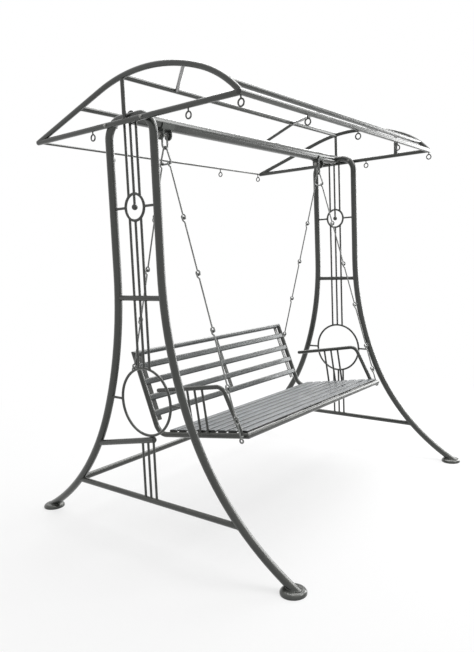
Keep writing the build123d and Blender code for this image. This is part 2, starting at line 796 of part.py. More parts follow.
def chain(top, bottom, count, last_share=1):
    """Rod links between the hanger ring's wire and a seat eye's centre."""
    down = (bottom - top).normalized()
    hook = top + down * (link_loop_r - link_r - delta_wire_d / 2 - link_clearance)
    links_run = (bottom - hook).length - count * loop_step
    links = []
    for share in [1] * (count - 1) + [last_share]:
        length = links_run * share / (count - 1 + last_share)
        eye = hook + down * length
        hook_place = Plane(origin=hook, x_dir=(1, 0, 0), z_dir=Vector(1, 0, 0).cross(-down))
        eye_place = Plane(origin=eye, x_dir=Vector(1, 0, 0).cross(down), z_dir=(-1, 0, 0))
        hook_half = link_half(hook_place, length / 2, hook_wrap)
        eye_half = link_half(eye_place, length / 2, eye_wrap)
        links.append(joined(hook_half, eye_half))
        hook = eye + down * loop_step
    return joined(*links)


# each chain ends in a ring on the side tube; a front one stands on a rod with a second ring
back_slope = (back_top_y - seat_corner_y) / (back_top_z - seat_corner_z)
eye_front = seat_front + seat_way * ((seat_eye_front_y - seat_front_y) / seat_way.Y)
eye_rear = Vector(0, seat_corner_y + (seat_eye_rear_z - seat_corner_z) * back_slope, seat_eye_rear_z)
seat_eyes = []
for side in SIDES:
    x = side * chain_x
    for end, base_y, eye, rise, count, share in (
        ("front", -delta_half_base, eye_front, seat_eye_rise, front_link_count, front_last_share),
        ("rear", delta_half_base, eye_rear, 0, rear_link_count, 1),
    ):
        corner = Vector(x, base_y, bow_z - delta_height)
        down = (at_x(x, eye) - corner).normalized()
        bottom = at_x(x, eye) - down * rise
        save(f"{side_name(side)}_{end}_chain", chain(corner + down * delta_bend_r, bottom, count, share))
        eye_shapes = [hoop(bottom, Vector(1, 0, 0).cross(down), link_loop_r, link_wire_d)]
        if rise:
            low = at_x(x, eye) + down * seat_eye_drop
            rod_ends = [bottom + down * link_loop_r, low - down * seat_eye_lower_r]
            eye_shapes.append(tube_between(*rod_ends, link_wire_d))
            eye_shapes.append(hoop(low, (1, 0, 0), seat_eye_lower_r, link_wire_d))
            shank_end = at_x(x, eye)
        else:
            shank_end = at_x(x - side * link_loop_r, eye)
        eye_shapes.append(tube_between(at_x(side * seat_x, eye), shank_end, seat_eye_shank_d))
        seat_eyes.append(coped(joined(*eye_shapes), seat_sides[side]))
save("seat_eyes", joined(*seat_eyes))
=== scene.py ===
import bpy
import json
import math
import numpy as np
from mathutils import Euler, Matrix


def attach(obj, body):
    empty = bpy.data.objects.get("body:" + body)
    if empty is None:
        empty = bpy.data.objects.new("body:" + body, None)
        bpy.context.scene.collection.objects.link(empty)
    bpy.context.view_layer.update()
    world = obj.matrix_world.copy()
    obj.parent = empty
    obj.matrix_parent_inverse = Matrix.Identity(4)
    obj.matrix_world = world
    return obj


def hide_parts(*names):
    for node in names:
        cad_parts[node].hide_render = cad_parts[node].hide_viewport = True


# lengths are in metres; X runs along the bench, +Y to the back, +Z up
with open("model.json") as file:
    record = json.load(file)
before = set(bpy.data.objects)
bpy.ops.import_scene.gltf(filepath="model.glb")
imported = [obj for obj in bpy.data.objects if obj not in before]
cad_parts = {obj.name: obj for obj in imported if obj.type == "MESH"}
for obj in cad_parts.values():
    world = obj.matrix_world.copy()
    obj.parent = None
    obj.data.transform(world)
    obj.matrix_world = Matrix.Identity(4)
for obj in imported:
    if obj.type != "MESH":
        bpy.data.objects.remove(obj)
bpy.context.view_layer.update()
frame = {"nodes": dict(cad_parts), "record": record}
print("frame loaded:", len(frame["nodes"]), "nodes")


# shader nodes
def freshTree(owner):
    # the emptied node tree of a material or a world
    owner.use_nodes = True
    owner.node_tree.nodes.clear()
    return owner.node_tree


def node(tree, kind, **settings):
    # one shader node; settings named after sockets set their values
    made = tree.nodes.new(kind)
    for key, value in settings.items():
        if key in made.inputs:
            made.inputs[key].default_value = value
        else:
            setattr(made, key, value)
    return made


def feed(tree, value, socket):
    # another node's socket is linked; a number or a colour is set on the socket itself
    if isinstance(value, bpy.types.NodeSocket):
        tree.links.new(value, socket)
    else:
        socket.default_value = value


def mathNode(tree, operation, *values, clamp=False):
    # values are numbers or sockets, in the operation's order
    made = node(tree, "ShaderNodeMath", operation=operation, use_clamp=clamp)
    for value, socket in zip(values, made.inputs):
        feed(tree, value, socket)
    return made.outputs[0]


def remap(tree, value, low, high, toLow=0.0, toHigh=1.0, smooth=True):
    # low..high becomes toLow..toHigh, eased at both ends unless smooth is off
    kind = "SMOOTHSTEP" if smooth else "LINEAR"
    made = node(tree, "ShaderNodeMapRange", interpolation_type=kind)
    limits = {"From Min": low, "From Max": high, "To Min": toLow, "To Max": toHigh}
    for label, limit in limits.items():
        made.inputs[label].default_value = limit
    feed(tree, value, made.inputs["Value"])
    return made.outputs["Result"]


mixSockets = dict(share=0, first=6, second=7, result=2)      # a colour mix's own among them all


def mixColour(tree, share, first, second):
    # first where share is 0, second where it is 1
    made = node(tree, "ShaderNodeMix", data_type="RGBA")
    for label, value in (("share", share), ("first", first), ("second", second)):
        feed(tree, value, made.inputs[mixSockets[label]])
    return made.outputs[mixSockets["result"]]


def noise(tree, vector, scale, detail, roughness):
    # smooth noise around 0.5 that runs through the solid
    made = node(tree, "ShaderNodeTexNoise", Scale=scale, Detail=detail, Roughness=roughness)
    tree.links.new(vector, made.inputs["Vector"])
    return made.outputs["Fac"]


def lookingUp(tree):
    # the Z of the surface's normal: 1 on a level top, 0 on a wall
    surface = node(tree, "ShaderNodeNewGeometry")
    parts = node(tree, "ShaderNodeSeparateXYZ")
    tree.links.new(surface.outputs["Normal"], parts.inputs[0])
    return parts.outputs["Z"]


def seenDirectly(tree):
    # 1 for rays from the camera, from a mirror and through glass
    rays = node(tree, "ShaderNodeLightPath")
    seen = mathNode(tree, "MAXIMUM", rays.outputs["Is Camera Ray"], rays.outputs["Is Glossy Ray"])
    return mathNode(tree, "MAXIMUM", seen, rays.outputs["Is Transmission Ray"])


# camera, lights and floor
view = dict(
    place=(-2.842, -2.071, 1.340),
    heading=51.74,          # degrees from +Y towards +X
    tilt=-6.34,
    roll=-2.28,
    lens=33.43,
    filmHeight=36.0,
    farthest=60.0,
)


def setCamera(spec):
    # upright camera turned to its heading and tilt, then rolled about its own axis
    data = bpy.data.cameras.new("camera")
    data.sensor_fit = "VERTICAL"
    data.sensor_height = spec["filmHeight"]
    data.lens = spec["lens"]
    data.clip_end = spec["farthest"]
    camera = bpy.data.objects.new("camera", data)
    bpy.context.scene.collection.objects.link(camera)
    aim = Euler((math.radians(90 + spec["tilt"]), 0, math.radians(-spec["heading"]))).to_matrix()
    aim = aim @ Matrix.Rotation(math.radians(spec["roll"]), 3, "Z")
    camera.matrix_world = Matrix.Translation(spec["place"]) @ aim.to_4x4()
    bpy.context.scene.camera = camera


lamps = dict(
    topSoftbox=dict(place=(1.4, 0.6, 5.4), aim=(0, 0, 0.6), size=(4.0, 4.0), power=135),
    rightBackSoftbox=dict(place=(4.4, 2.2, 4.4), aim=(0, 0, 1.6), size=(3.6, 3.6), power=150),
    rightStrip=dict(place=(4.8, -1.6, 1.9), aim=(0, 0, 1.2), size=(1.6, 3.2), power=120),
    frontSoftbox=dict(place=(2.2, -2.8, 4.5), aim=(0, 0, 1.6), size=(2.4, 2.4), power=110),
)


def addLamp(name, spec):
    # a softbox that faces the point it is aimed at
    data = bpy.data.lights.new(name, "AREA")
    data.shape = "RECTANGLE"
    data.size, data.size_y = spec["size"]
    data.energy = spec["power"]
    lamp = bpy.data.objects.new(name, data)
    bpy.context.scene.collection.objects.link(lamp)
    lamp.location = spec["place"]
    gaze = np.subtract(spec["aim"], spec["place"])
    turn = math.atan2(-gaze[0], gaze[1])
    rise = math.atan2(gaze[2], math.hypot(gaze[0], gaze[1]))
    lamp.rotation_euler = (math.pi / 2 + rise, 0, turn)


studio = dict(
    worldLight=0.45,
    floorSize=30.0, floorGrey=0.86,
    whiteShare=0.66,        # how white the floor looks under the swing
    fadeFrom=1.3, fadeTo=3.4,
)


def setWorld(spec):
    # the camera and mirrors see plain white; the rest gets the studio's ambient level
    world = bpy.data.worlds.new("studioWorld")
    bpy.context.scene.world = world
    tree = freshTree(world)
    ambient = spec["worldLight"]
    level = mathNode(tree, "MULTIPLY_ADD", seenDirectly(tree), 1 - ambient, ambient)
    sky = node(tree, "ShaderNodeBackground", Color=(1, 1, 1, 1))
    tree.links.new(level, sky.inputs["Strength"])
    out = node(tree, "ShaderNodeOutputWorld")
    tree.links.new(sky.outputs[0], out.inputs["Surface"])


def addFloor(spec):
    # a pale floor that fades to white away from the swing, keeping its shadow
    half = spec["floorSize"] / 2
    mesh = bpy.data.meshes.new("floor")
    corners = [(-half, -half, 0), (half, -half, 0), (half, half, 0), (-half, half, 0)]
    mesh.from_pydata(corners, [], [(0, 1, 2, 3)])
    floor = bpy.data.objects.new("floor", mesh)
    bpy.context.scene.collection.objects.link(floor)
    material = bpy.data.materials.new("paleFloor")
    tree = freshTree(material)
    grey = spec["floorGrey"]
    matte = node(tree, "ShaderNodeBsdfDiffuse", Color=(grey, grey, grey, 1))
    white = node(tree, "ShaderNodeEmission", Color=(1, 1, 1, 1), Strength=1.0)
    where = node(tree, "ShaderNodeTexCoord")
    away = node(tree, "ShaderNodeVectorMath", operation="LENGTH")
    tree.links.new(where.outputs["Object"], away.inputs[0])
    fade = remap(tree, away.outputs["Value"], spec["fadeFrom"], spec["fadeTo"], spec["whiteShare"])
    blend = node(tree, "ShaderNodeMixShader")
    tree.links.new(mathNode(tree, "MULTIPLY", fade, seenDirectly(tree)), blend.inputs[0])
    tree.links.new(matte.outputs[0], blend.inputs[1])
    tree.links.new(white.outputs[0], blend.inputs[2])
    out = node(tree, "ShaderNodeOutputMaterial")
    tree.links.new(blend.outputs[0], out.inputs["Surface"])
    mesh.materials.append(material)


setCamera(view)
for lampName, lampSpec in lamps.items():
    addLamp(lampName, lampSpec)
setWorld(studio)
addFloor(studio)
bpy.context.scene.view_settings.view_transform = "Standard"
print("camera, lights and floor are set")


# noises of the finishes: scale per metre, detail and roughness
grain = dict(
    peel=dict(scale=420.0, detail=2.0, roughness=0.4),
    drift=dict(scale=5.5, detail=4.0, roughness=0.6),
    flake=dict(scale=1500.0, detail=1.0, roughness=0.7),
    dust=dict(scale=26.0, detail=5.0, roughness=0.62),
    marks=dict(scale=60.0, detail=6.0, roughness=0.7),
    patches=dict(scale=7.0, detail=2.0, roughness=0.5),
)
# from where to where each mask comes in
bands = dict(
    tone=(-0.25, 0.25), flake=(0.56, 0.72), dustUp=(0.25, 0.95), dust=(0.34, 0.66),
    # the last band sets where the slats' painted side shade gives way to their top colour
    marks=(0.60, 0.70), patches=(0.50, 0.66), gapShadeFade=(0.70, 0.96),
)
thinDust = 0.35             # dust between its patches


def shaderGroup(name, inputs, outputs):
    # inputs are (name, kind, default), outputs are names; returns the group and its two end nodes
    group = bpy.data.node_groups.new(name, "ShaderNodeTree")
    for label, kind, default in inputs:
        socket = group.interface.new_socket(
            label, in_out="INPUT", socket_type="NodeSocket" + kind)
        socket.default_value = default
    for label in outputs:
        group.interface.new_socket(label, in_out="OUTPUT", socket_type="NodeSocketFloat")
    return group, group.nodes.new("NodeGroupInput"), group.nodes.new("NodeGroupOutput")


def powderCoatGroup():
    # fine orange peel and metallic flake of a baked paint, and its slow drift in tone
    inputs = [("Vector", "Vector", (0, 0, 0)), ("Peel", "Float", 1.0)]
    group, ins, outs = shaderGroup("powderCoat", inputs, ("Height", "Tone", "Flake"))
    place = ins.outputs["Vector"]
    height = mathNode(group, "MULTIPLY", noise(group, place, **grain["peel"]), ins.outputs["Peel"])
    tone = mathNode(group, "SUBTRACT", noise(group, place, **grain["drift"]), 0.5)
    flake = remap(group, noise(group, place, **grain["flake"]), *bands["flake"])
    for label, value in (("Height", height), ("Tone", tone), ("Flake", flake)):
        group.links.new(value, outs.inputs[label])
    return group


def settledDustGroup():
    # thin dust that lies where the surface looks up, broken into patches
    inputs = [("Vector", "Vector", (0, 0, 0)), ("Amount", "Float", 0.3)]
    group, ins, outs = shaderGroup("settledDust", inputs, ("Mask",))
    up = remap(group, lookingUp(group), *bands["dustUp"])
    cloud = noise(group, ins.outputs["Vector"], **grain["dust"])
    share = mathNode(group, "MULTIPLY", up, remap(group, cloud, *bands["dust"], thinDust))
    mask = mathNode(group, "MULTIPLY", share, ins.outputs["Amount"])
    group.links.new(mask, outs.inputs["Mask"])
    return group


def rubWearGroup():
    # short rubbed marks: noise drawn out along one axis, kept only where a patch allows
    inputs = [("Vector", "Vector", (0, 0, 0)), ("Stretch", "Vector", (1, 1, 1)),
              ("Amount", "Float", 0.3)]
    group, ins, outs = shaderGroup("rubWear", inputs, ("Mask",))
    drawn = node(group, "ShaderNodeVectorMath", operation="MULTIPLY")
    group.links.new(ins.outputs["Vector"], drawn.inputs[0])
    group.links.new(ins.outputs["Stretch"], drawn.inputs[1])
    marks = noise(group, drawn.outputs["Vector"], **grain["marks"])
    patches = noise(group, ins.outputs["Vector"], **grain["patches"])
    share = mathNode(group, "MULTIPLY", remap(group, marks, *bands["marks"]),
                     remap(group, patches, *bands["patches"]))
    mask = mathNode(group, "MULTIPLY", share, ins.outputs["Amount"])
    group.links.new(mask, outs.inputs["Mask"])
    return group


groups = dict(
    powderCoat=powderCoatGroup(), settledDust=settledDustGroup(), rubWear=rubWearGroup())


def useGroup(tree, name, **values):
    # a shared group in a material, with its own values or sockets
    made = tree.nodes.new("ShaderNodeGroup")
    made.node_tree = groups[name]
    for label, value in values.items():
        feed(tree, value, made.inputs[label])
    return made


def scaled(colour, factor=1.0):
    # a colour made lighter or darker, with its alpha
    return tuple(min(1.0, channel * factor) for channel in colour) + (1.0,)


# what the tone, flake, dust and rubbed marks do to colour and gloss
paint = dict(
    darkest=0.68, lightest=1.38, flakeGain=2.2, dustColour=(0.34, 0.33, 0.30),
    toneShine=0.25, dustShine=0.35, rubShine=0.10,
    peelStrength=0.5, peelDepth=0.0003, coatRoughness=0.20,
)


def paintedMetal(name, spec):
    # baked paint over steel: tone drift, flake, dust on top faces, rubbed marks and orange peel;
    # the slats also get painted shade on their sides
    material = bpy.data.materials.new(name)
    tree = freshTree(material)
    where = node(tree, "ShaderNodeTexCoord").outputs["Object"]
    coat = useGroup(tree, "powderCoat", Vector=where, Peel=spec["peel"])
    dust = useGroup(tree, "settledDust", Vector=where, Amount=spec["dust"]).outputs["Mask"]
    rub = useGroup(tree, "rubWear", Vector=where, Stretch=spec["stretch"], Amount=spec["rub"])
    rub = rub.outputs["Mask"]

    base = spec["colour"]
    tone = remap(tree, coat.outputs["Tone"], *bands["tone"], smooth=False)
    colour = mixColour(tree, tone, scaled(base, paint["darkest"]), scaled(base, paint["lightest"]))
    flake = mathNode(tree, "MULTIPLY", coat.outputs["Flake"], spec["flake"])
    colour = mixColour(tree, flake, colour, scaled(base, paint["flakeGain"]))
    colour = mixColour(tree, rub, colour, scaled(spec["rubbed"]))
    if "gapShadeColour" in spec:
        # painted shade: the slats keep their colour on the broad top faces, and are painted darker
        # at the sides for the shade in the gaps between them
        top = remap(tree, lookingUp(tree), *bands["gapShadeFade"])
        colour = mixColour(tree, top, scaled(spec["gapShadeColour"]), colour)
    colour = mixColour(tree, dust, colour, scaled(paint["dustColour"]))

    shine = mathNode(tree, "MULTIPLY_ADD", coat.outputs["Tone"], paint["toneShine"],
                     spec["roughness"])
    shine = mathNode(tree, "ADD", shine, mathNode(tree, "MULTIPLY", dust, paint["dustShine"]))
    shine = mathNode(tree, "SUBTRACT", shine, mathNode(tree, "MULTIPLY", rub, paint["rubShine"]),
                     clamp=True)
    bump = node(tree, "ShaderNodeBump", Strength=paint["peelStrength"],
                Distance=paint["peelDepth"])
    tree.links.new(coat.outputs["Height"], bump.inputs["Height"])

    skin = node(tree, "ShaderNodeBsdfPrincipled", Metallic=spec["metallic"])
    skin.inputs["Coat Weight"].default_value = spec["coat"]
    skin.inputs["Coat Roughness"].default_value = paint["coatRoughness"]
    tree.links.new(colour, skin.inputs["Base Color"])
    tree.links.new(shine, skin.inputs["Roughness"])
    tree.links.new(bump.outputs["Normal"], skin.inputs["Normal"])
    out = node(tree, "ShaderNodeOutputMaterial")
    tree.links.new(skin.outputs[0], out.inputs["Surface"])
    return material


# stretch draws the rubbed marks out along the slats (X) and the rods (Z)
finishes = dict(
    framePaint=dict(
        colour=(0.027, 0.030, 0.026), rubbed=(0.16, 0.17, 0.16), roughness=0.27, metallic=0.20,
        coat=0.45, peel=1.0, flake=0.45, dust=0.14, rub=0.60, stretch=(1, 1, 1)),
    # painted light: a lighter copy of the frame paint that lifts the hanger brackets out of the
    # beam's shade
    litBracketPaint=dict(
        colour=(0.075, 0.080, 0.075), rubbed=(0.40, 0.41, 0.40), roughness=0.26, metallic=0.55,
        coat=0.20, peel=0.7, flake=0.25, dust=0.10, rub=0.70, stretch=(1, 1, 1)),
    # painted light and shade: seat and back slats carry one slat paint; the seat's copy is painted
    # lighter for the sky light on its upward faces, the back's copy darker
    litSeatSlatPaint=dict(
        colour=(0.105, 0.118, 0.130), rubbed=(0.36, 0.38, 0.40), roughness=0.30, metallic=0.35,
        coat=0.08, peel=0.8, flake=0.35, dust=0.20, rub=0.80, stretch=(0.06, 1.4, 1.4),
        # painted shade for the gaps between the slats, laid on their sides
        gapShadeColour=(0.016, 0.018, 0.018)),
    shadedBackSlatPaint=dict(
        colour=(0.050, 0.055, 0.055), rubbed=(0.28, 0.29, 0.30), roughness=0.28, metallic=0.35,
        coat=0.25, peel=0.8, flake=0.35, dust=0.16, rub=0.75, stretch=(0.06, 1.4, 1.4)),
    rodPaint=dict(
        colour=(0.17, 0.175, 0.17), rubbed=(0.40, 0.40, 0.39), roughness=0.27, metallic=0.80,
        coat=0.10, peel=0.8, flake=0.30, dust=0.08, rub=0.60, stretch=(1, 1, 0.4)),
    boltZinc=dict(
        colour=(0.24, 0.24, 0.23), rubbed=(0.42, 0.42, 0.40), roughness=0.32, metallic=0.85,
        coat=0.0, peel=0.5, flake=0.4, dust=0.10, rub=0.6, stretch=(1, 1, 1)),
    plugPlastic=dict(
        colour=(0.020, 0.021, 0.020), rubbed=(0.08, 0.08, 0.08), roughness=0.45, metallic=0.0,
        coat=0.0, peel=1.6, flake=0.0, dust=0.12, rub=0.4, stretch=(1, 1, 1)),
)
materials = {name: paintedMetal(name, spec) for name, spec in finishes.items()}
slotMaterial = dict(
    frame_paint=materials["framePaint"],
    slat_paint=materials["litSeatSlatPaint"],
    rod_steel=materials["rodPaint"],
    zinc_steel=materials["boltZinc"],
)
nodeMaterial = dict(
    # the back slats and top rail take the darker copy of the slat paint, as painted shade
    back_slats=materials["shadedBackSlatPaint"],
    back_top_rail=materials["shadedBackSlatPaint"],
    # the hanger brackets take the lighter copy of the frame paint, as painted light against the
    # beam's shade
    left_hanger_bracket=materials["litBracketPaint"],
    right_hanger_bracket=materials["litBracketPaint"],
)
for part in frame["record"]["subparts"]:
    mesh = frame["nodes"][part["node"]].data
    mesh.materials.clear()
    mesh.materials.append(nodeMaterial.get(part["node"], slotMaterial[part["material_slot"]]))
print("materials are made")


# paths and sections, all as whole arrays
def unit(vectors):
    # the same directions at length 1
    vectors = np.asarray(vectors, float)
    return vectors / np.linalg.norm(vectors, axis=-1, keepdims=True)


def squareTo(way):
    # any direction square to way
    way = unit(way)
    return unit(np.cross(way, (0.31, 0.22, 0.92) if abs(way[2]) < 0.8 else (1.0, 0.1, 0.0)))


def straight(start, end, steps):
    # evenly spaced points from start to end
    share = np.linspace(0, 1, steps)[:, None]
    return np.asarray(start, float) * (1 - share) + np.asarray(end, float) * share


def arc(centre, radius, start, turn, stepAngle):
    # points of a circle from the angle start through turn, in degrees
    steps = max(3, int(abs(turn) / stepAngle) + 1)
    angle = np.radians(start + turn * np.linspace(0, 1, steps))
    return np.column_stack((centre[0] + radius * np.cos(angle), centre[1] + radius * np.sin(angle)))


def chained(*runs):
    # runs end to end, without the doubled points where they meet
    points, doubled = np.vstack(runs), 1e-7
    gap = np.linalg.norm(np.diff(points, axis=0), axis=1)
    return points[np.concatenate(([True], gap > doubled))]


def circle(radius, sides):
    # points evenly spaced around the origin
    angle = np.arange(sides) * 2 * np.pi / sides
    return radius * np.column_stack((np.cos(angle), np.sin(angle)))


def flatOval(width, thickness, roundSteps=9):
    # a slot: two half circles joined by flats, width along the first axis
    r = thickness / 2
    right = arc((width / 2 - r, 0), r, -90, 180, 180 / (roundSteps - 1))
    return np.vstack((right, -right))


def resampled(loop, count):
    # the same closed outline with evenly spaced points
    closed = np.vstack((loop, loop[:1]))
    run = np.concatenate(([0], np.cumsum(np.linalg.norm(np.diff(closed, axis=0), axis=1))))
    even = np.linspace(0, run[-1], count, endpoint=False)
    return np.column_stack([np.interp(even, run, closed[:, axis]) for axis in (0, 1)])


def gridFaces(rings, sides, closed=False):
    # quads between neighbouring rings of a grid, wrapped around the section
    ring = np.arange(rings if closed else rings - 1)[:, None] * sides
    following = (ring + sides) % (rings * sides)
    side = np.arange(sides)[None, :]
    beside = (side + 1) % sides
    quads = np.stack((ring + side, ring + beside, following + beside, following + side), -1)
    return quads.reshape(-1, 4).tolist()


def sealed(rings, sides):
    # an open grid's faces with a lid at each end
    faces = gridFaces(rings, sides)
    faces.append(list(range(sides))[::-1])
    faces.append(list(range(sides * (rings - 1), sides * rings)))
    return faces


wideHub, fineHub = 0.0006, 0.0002      # radius of the small faces that close a shape on its axis


def turned(outline, centre, axis, sides):
    # surface of revolution: outline(u) = (distance from the axis, height along it)
    axis = unit(axis)
    first = unit(np.cross(axis, (0.4, 0.91, 0.05)))
    second = np.cross(axis, first)
    outline = np.asarray(outline, float)
    angle = np.arange(sides) * 2 * np.pi / sides
    spoke = np.cos(angle)[:, None] * first + np.sin(angle)[:, None] * second
    points = np.asarray(centre) + outline[:, None, :1] * spoke[None] + outline[:, None, 1:] * axis
    return points.reshape(-1, 3), sealed(len(outline), sides)


# every weld is a small rippled bead; its radius is named for what it joins
beads = dict(foot=0.0026, stretcher=0.0024, bar=0.0022, arm=0.0020, canopy=0.0018,
             brace=0.0016, slat=0.0015, rod=0.0014)
beadForm = dict(
    sides=8,
    ripple=0.126, rippleLength=2.4,       # in bead radii
    fewestRipples=6,
    spacing=0.0006, fewestSteps=16,
    runIn=0.06,             # how far before its end a bar is taken up
)


def weldBead(section, place, way, normal, target, targetWay, targetR, beadR):
    # each point of the section slides along way until it is targetR from the target's axis;
    # the bead is a small rippled tube along that seam
    way, normal, targetWay = unit(way), unit(normal), unit(targetWay)
    offset = section[:, :1] * normal + section[:, 1:] * np.cross(way, normal)
    start = np.asarray(place, float) + offset
    away = start - np.asarray(target, float)
    away = away - (away @ targetWay)[:, None] * targetWay
    slide = way - (way @ targetWay) * targetWay
    a, b = slide @ slide, away @ slide
    c = np.sum(away * away, 1) - targetR**2
    reach = (-b - np.sqrt(np.maximum(b * b - a * c, 0))) / a
    seam = start + reach[:, None] * way
    following, before = np.roll(seam, -1, 0), np.roll(seam, 1, 0)
    tangent = unit(following - before)
    outward = unit(offset)
    outward = unit(outward - tangent * np.sum(outward * tangent, 1, keepdims=True))
    beside = np.cross(tangent, outward)
    length = np.linalg.norm(seam - following, axis=1).sum()
    count = max(beadForm["fewestRipples"], int(length / (beadForm["rippleLength"] * beadR)))
    phase = np.arange(len(seam)) * 2 * np.pi * count / len(seam)
    radius = beadR * (1 + beadForm["ripple"] * np.cos(phase))
    ring = circle(1.0, beadForm["sides"])
    rim = ring[None, :, :1] * outward[:, None, :] + ring[None, :, 1:] * beside[:, None, :]
    points = seam[:, None, :] + radius[:, None, None] * rim
    return points.reshape(-1, 3), gridFaces(len(seam), beadForm["sides"], True)


def barSection(radius):
    # a round bar's section, with a point for each step of its bead
    return circle(radius, max(beadForm["fewestSteps"], int(radius / beadForm["spacing"])))


def weld(end, way, radius, targetWay, targetR, beadR):
    # bead where a round bar that runs along way ends on a round target, whose axis holds end
    start = np.asarray(end, float) - beadForm["runIn"] * unit(way)
    return weldBead(barSection(radius), start, way, squareTo(way), end, targetWay, targetR, beadR)


sharpAngle = dict(turned=38, weld=80, bolt=30)      # degrees from which an edge stays hard


def addPiece(name, shells, body, material, replaces=(), sharp=sharpAngle["turned"]):
    # shells are (points, faces) pairs that become one mesh riding on a body
    points, faces, first = [], [], 0
    for shellPoints, shellFaces in shells:
        points.append(shellPoints)
        faces += [[index + first for index in face] for face in shellFaces]
        first += len(shellPoints)
    mesh = bpy.data.meshes.new(name)
    mesh.from_pydata(np.vstack(points), [], faces)
    mesh.polygons.foreach_set("use_smooth", np.ones(len(mesh.polygons), bool))
    mesh.set_sharp_from_angle(angle=math.radians(sharp))
    mesh.materials.append(material)
    mesh.update()
    piece = bpy.data.objects.new(name, mesh)
    bpy.context.scene.collection.objects.link(piece)
    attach(piece, body)
    if replaces:
        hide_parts(*replaces)


def addWelds(name, shells, body):
    # welds are painted with the frame, and keep no hard edge
    paintedFrame = materials["framePaint"]
    addPiece(name, shells, body, paintedFrame, sharp=sharpAngle["weld"])


mirrored = dict(left=-1, right=1)
alongX, alongY, alongZ = (1, 0, 0), (0, 1, 0), (0, 0, 1)
probe = 0.002               # step that a curve's direction is taken over

# places of the stand that the small pieces are fitted to; angles are in degrees
stand = dict(
    frameX=0.928, tubeR=0.019, topZ=1.985, bendR=0.085,
    waist=0.145, flareTop=1.300, flareR=1.850, flareTurn=22, flareStep=1.0,
    footSpread=0.795, footH=0.018, footStep=0.5,
    lowBar=dict(z=0.210, r=0.014), midBar=dict(z=1.177, r=0.0125), stretcherR=0.016,
    bigRing=dict(z=0.689, r=0.160), smallRing=dict(z=1.590, r=0.060), wireR=0.0065,
    rodR=0.006, rodYs=(-0.037, 0.0, 0.037),
    rest=dict(slope=11, r=0.014, frontY=-0.043),
    beamHalf=0.9215,
    lid=dict(r=0.0268, thickness=0.003, edgeIn=0.0006, edgeDown=0.0005, sides=64),
)


def legLine(spec):
    # (half width, height) along a leg from the waist to the foot: two tangent arcs
    turn = math.radians(spec["flareTurn"])
    middle = (spec["waist"] + spec["flareR"], spec["flareTop"])
    upper = arc(middle, spec["flareR"], 180, spec["flareTurn"], spec["flareStep"])
    knee, heading = upper[-1], np.array((math.sin(turn), -math.cos(turn)))
    chord = np.array((spec["footSpread"], spec["footH"])) - knee
    normal = np.array((-heading[1], heading[0]))
    reach = chord @ chord / (2 * chord @ normal)
    centre = knee + normal * reach
    first = math.degrees(math.atan2(*(knee - centre)[::-1]))
    last = math.degrees(math.atan2(*(knee + chord - centre)[::-1]))
    lower = arc(centre, abs(reach), first, (last - first + 180) % 360 - 180, spec["footStep"])
    return chained(upper, lower)


legPoints = legLine(stand)[::-1]      # from the foot up


def legAt(z):
    # a leg's half width and its direction (outwards, up) at height z
    half = np.interp(z, legPoints[:, 1], legPoints[:, 0], right=stand["waist"])
    ahead = np.interp(z + probe, legPoints[:, 1], legPoints[:, 0], right=stand["waist"])
    return float(half), unit((float(ahead - half), probe))


def footWeld(x, step, spec):
    # the foot plate is flat there: a target of very large radius stands in for it
    flatR, above = 40.0, 0.004
    z = spec["footH"] + above
    half, way = legAt(z)
    down = np.array((0, step * -way[0], -way[1]))
    start = np.array((x, step * half, z)) - beadForm["runIn"] * down
    target = (x, step * half, spec["footH"] - flatR)
    return weldBead(barSection(spec["tubeR"]), start, down, squareTo(down), target, alongX, flatR,
                    beads["foot"])


def legWeld(x, step, z, radius, beadR, spec):
    # a level bar that runs out to the front (-1) or rear (1) leg
    half, way = legAt(z)
    legWay = (0, step * way[0], way[1])
    return weld((x, step * half, z), (0, step, 0), radius, legWay, spec["tubeR"], beadR)


def rodWeld(place, up, targetWay, targetR, spec):
    # an infill rod that runs up (1) or down (-1) into a round target
    return weld(place, (0, 0, up), spec["rodR"], targetWay, targetR, beads["rod"])


def ringWeld(x, ring, y, up, spec):
    # a rod that stands on a ring (1) or hangs from it (-1); the wire runs along the tangent there
    rise = up * math.sqrt(ring["r"] ** 2 - y**2)
    return rodWeld((x, y, ring["z"] + rise), -up, (0, rise, -y), spec["wireR"], spec)


def sideFrameWelds(side, spec):
    # feet, crossbars, struts and infill rods of one side frame
    x, rodR, lowBar, midBar = side * spec["frameX"], spec["rodR"], spec["lowBar"], spec["midBar"]
    bigRing, smallRing = spec["bigRing"], spec["smallRing"]
    shells = [footWeld(x, step, spec) for step in (-1, 1)]
    for bar in (lowBar, midBar):
        shells += [legWeld(x, step, bar["z"], bar["r"], beads["bar"], spec) for step in (-1, 1)]
    for ring in (bigRing, smallRing):
        for step in (-1, 1):      # short struts from the ring out to the legs
            shells.append(legWeld(x, step, ring["z"], rodR, beads["rod"], spec))
            shells.append(weld((x, step * ring["r"], ring["z"]), (0, -step, 0), rodR, alongZ,
                               spec["wireR"], beads["rod"]))
    for y in spec["rodYs"]:
        shells.append(rodWeld((x, y, spec["topZ"]), 1, alongY, spec["tubeR"], spec))
        shells.append(ringWeld(x, smallRing, y, 1, spec))
        shells.append(ringWeld(x, smallRing, y, -1, spec))
        shells.append(ringWeld(x, bigRing, y, 1, spec))
        for bar, up in ((midBar, -1), (midBar, 1), (lowBar, -1)):
            shells.append(rodWeld((x, y, bar["z"]), up, alongY, bar["r"], spec))
        if side > 0:              # on the left the rods stop at the ring rest
            shells.append(ringWeld(x, bigRing, y, -1, spec))
    return shells


def restAxisZ(y, spec):
    # the sloping rest's axis; it touches the big ring's wire from below
    slope = math.radians(spec["rest"]["slope"])
    reach = spec["bigRing"]["r"] + spec["wireR"] + spec["rest"]["r"]
    touchY, touchZ = -reach * math.sin(slope), spec["bigRing"]["z"] - reach * math.cos(slope)
    return touchZ - (y - touchY) * math.tan(slope)


